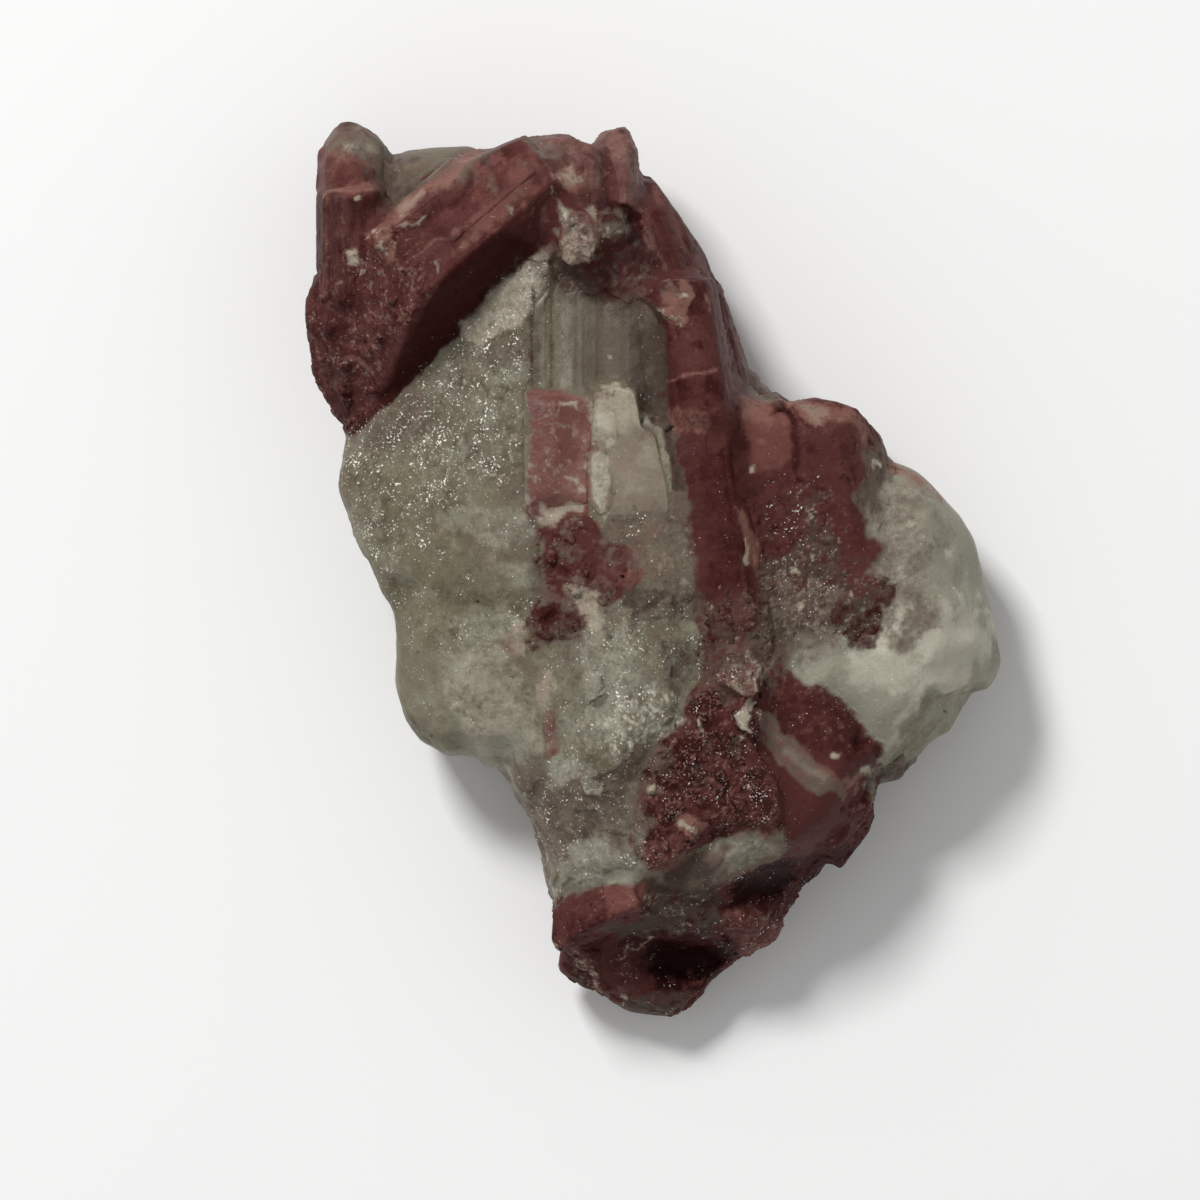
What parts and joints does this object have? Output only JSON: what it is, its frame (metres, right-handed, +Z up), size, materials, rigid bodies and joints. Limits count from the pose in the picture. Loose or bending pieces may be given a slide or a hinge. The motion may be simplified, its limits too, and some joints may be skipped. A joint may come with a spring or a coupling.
{
  "type": "rossmanite crystal specimen",
  "caption": "Small mineral cluster: pink tourmaline prisms grown in milky quartz, resting on a flat broken back.",
  "frame": {"origin": "centre of the base of the bounding box, on the surface it rests on", "axes": "+Z up from the broad back, +Y along the long side towards the crown, +X to the right lobe"},
  "size_m": [0.0419, 0.054, 0.0194],
  "materials": {
    "quartz": "milky and smoky quartz, sugary and glinting on breaks",
    "red_tourmaline": "deep red translucent, striated along the prism",
    "dark_tourmaline": "dark red, granular",
    "pale_tourmaline": "soft mottled salmon pink",
    "zoned_tourmaline": "glassy grey-green zone over a rose zone",
    "rose_tourmaline": "rose pink, satin",
    "cream_feldspar": "cream cleavage plates, pearly"
  },
  "bodies": {
    "root": {"quartz_matrix": "quartz", "diagonal_crystal": "red_tourmaline", "corner_crystal": "dark_tourmaline", "crown_crystals": "pale_tourmaline", "edge_crystal": "red_tourmaline", "long_crystal": "red_tourmaline", "central_crystal": "zoned_tourmaline", "middle_crystal": "dark_tourmaline", "cream_plates": "cream_feldspar", "block_crystal": "rose_tourmaline", "right_crystal": "red_tourmaline", "fan_crystals": "red_tourmaline", "granular_mass": "dark_tourmaline", "rose_crystal": "rose_tourmaline"}
  },
  "joints": []
}
